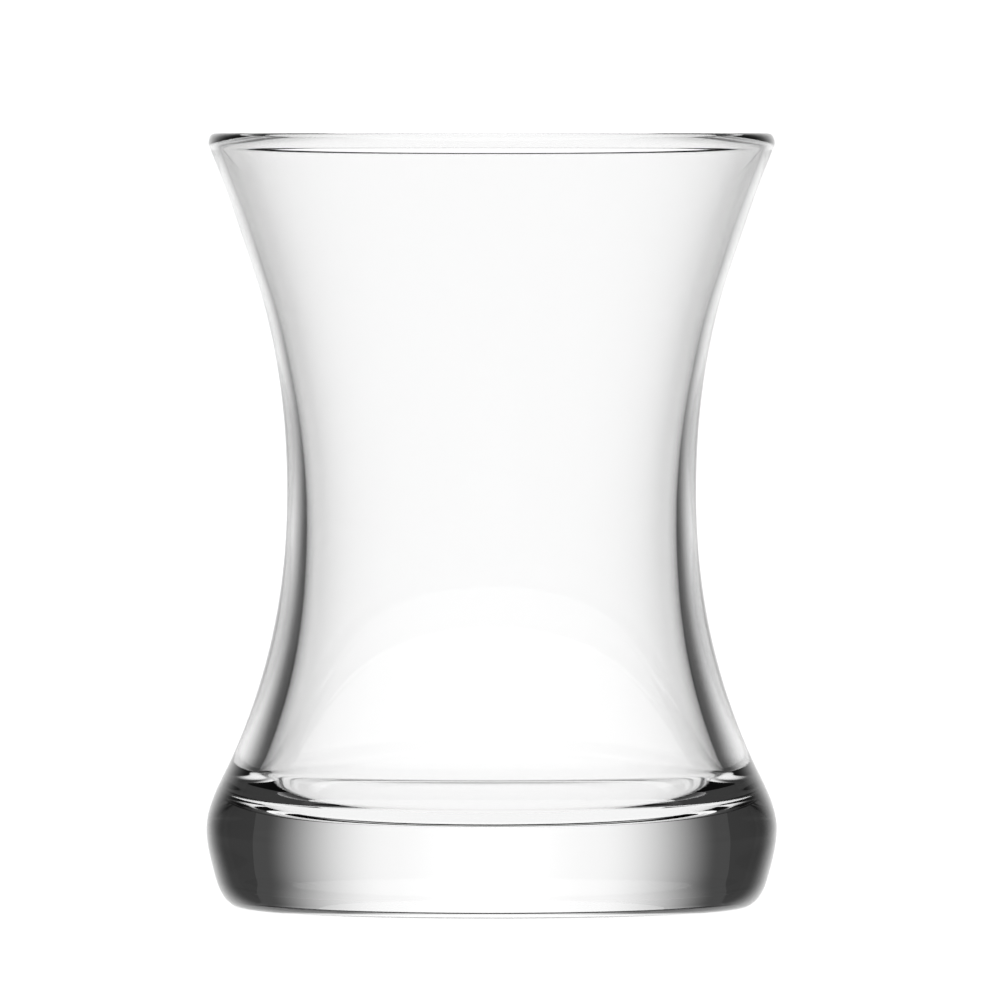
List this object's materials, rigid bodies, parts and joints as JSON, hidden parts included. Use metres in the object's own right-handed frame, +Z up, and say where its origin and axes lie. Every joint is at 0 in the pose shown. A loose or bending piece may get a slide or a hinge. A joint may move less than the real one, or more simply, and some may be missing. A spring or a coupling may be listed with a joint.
{
  "type": "tea glass",
  "caption": "Clear waisted tea glass: a flared rim with a melted bead, a narrow middle and a thick solid base, empty inside.",
  "frame": {"origin": "centre of the foot, on the surface that the glass stands on", "axes": "+Z up along the glass's axis, towards the rim; the glass is round, so +X and +Y are any two directions across it"},
  "size_m": [0.065, 0.065, 0.088],
  "materials": {
    "clear_glass": "clear soda-lime glass with a fire-polished surface"
  },
  "bodies": {
    "root": {"glass": "clear_glass"}
  },
  "joints": []
}
